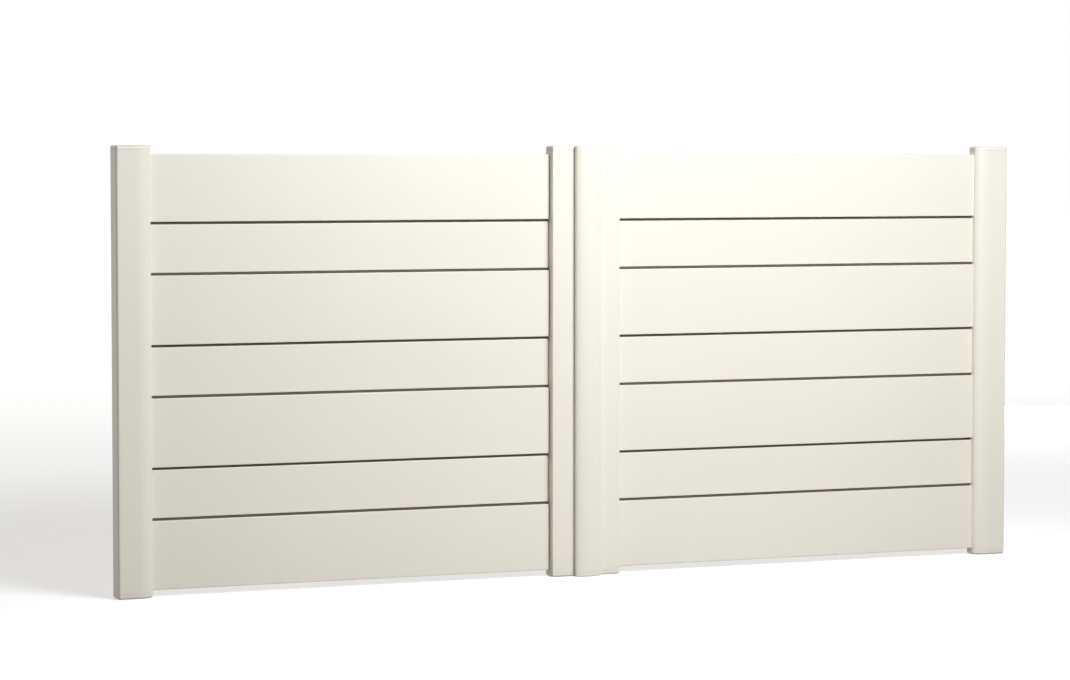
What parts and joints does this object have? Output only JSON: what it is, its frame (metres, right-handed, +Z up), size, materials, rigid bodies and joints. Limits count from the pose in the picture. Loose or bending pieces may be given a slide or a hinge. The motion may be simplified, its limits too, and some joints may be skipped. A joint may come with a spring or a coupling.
{
  "type": "aluminium double swing gate",
  "caption": "Double-leaf swing drive gate with flat level boards between hollow stiles and a half-round cover strip on the joint.",
  "frame": {"origin": "on the mounting face of the lower left post bracket, midway between its two bolts", "axes": "+X along the closed gate to the right, +Y to the back, the way the leaves open, +Z up"},
  "size_m": [3.6, 0.168, 1.6],
  "materials": {
    "coated_stile": "satin powder coat, off-white",
    "coated_board": "satin powder coat, off-white",
    "coated_cap": "satin powder coat, off-white",
    "coated_cover": "satin powder coat, off-white",
    "hinge_steel": "galvanised and painted off-white",
    "pin_steel": "stainless steel",
    "groove_seal": "dark rubber, in the grooves and joints"
  },
  "bodies": {
    "root": {"left_lower_post_bracket": "hinge_steel", "left_lower_hinge_pin": "pin_steel", "left_upper_post_bracket": "hinge_steel", "left_upper_hinge_pin": "pin_steel", "right_lower_post_bracket": "hinge_steel", "right_lower_hinge_pin": "pin_steel", "right_upper_post_bracket": "hinge_steel", "right_upper_hinge_pin": "pin_steel"},
    "left_leaf": {"left_hinge_stile": "coated_stile", "left_meeting_stile": "coated_stile", "left_hinge_stile_top_cap": "coated_cap", "left_hinge_stile_bottom_cap": "coated_cap", "left_meeting_stile_top_cap": "coated_cap", "left_meeting_stile_bottom_cap": "coated_cap", "left_board_1": "coated_board", "left_board_2": "coated_board", "left_board_3": "coated_board", "left_board_4": "coated_board", "left_board_5": "coated_board", "left_board_6": "coated_board", "left_board_7": "coated_board", "left_lower_hinge_eye": "hinge_steel", "left_upper_hinge_eye": "hinge_steel"},
    "right_leaf": {"right_hinge_stile": "coated_stile", "right_meeting_stile": "coated_stile", "right_hinge_stile_top_cap": "coated_cap", "right_hinge_stile_bottom_cap": "coated_cap", "right_meeting_stile_top_cap": "coated_cap", "right_meeting_stile_bottom_cap": "coated_cap", "right_board_1": "coated_board", "right_board_2": "coated_board", "right_board_3": "coated_board", "right_board_4": "coated_board", "right_board_5": "coated_board", "right_board_6": "coated_board", "right_board_7": "coated_board", "right_lower_hinge_eye": "hinge_steel", "right_upper_hinge_eye": "hinge_steel", "cover_strip": "coated_cover", "cover_strip_top_cap": "coated_cap", "cover_strip_bottom_cap": "coated_cap"}
  },
  "joints": [
    {"name": "left_leaf_hinge", "type": "hinge", "parent": "root", "child": "left_leaf", "pos_m": [0.01, -0.035, 0], "axis": [0, 0, 1], "range_deg": [0, 100]},
    {"name": "right_leaf_hinge", "type": "hinge", "parent": "root", "child": "right_leaf", "pos_m": [3.51, -0.035, 0], "axis": [0, 0, -1], "range_deg": [0, 90]}
  ],
  "couplings": [
    {"joint": "right_leaf_hinge", "follows": "left_leaf_hinge", "ratio": 0.9}
  ]
}
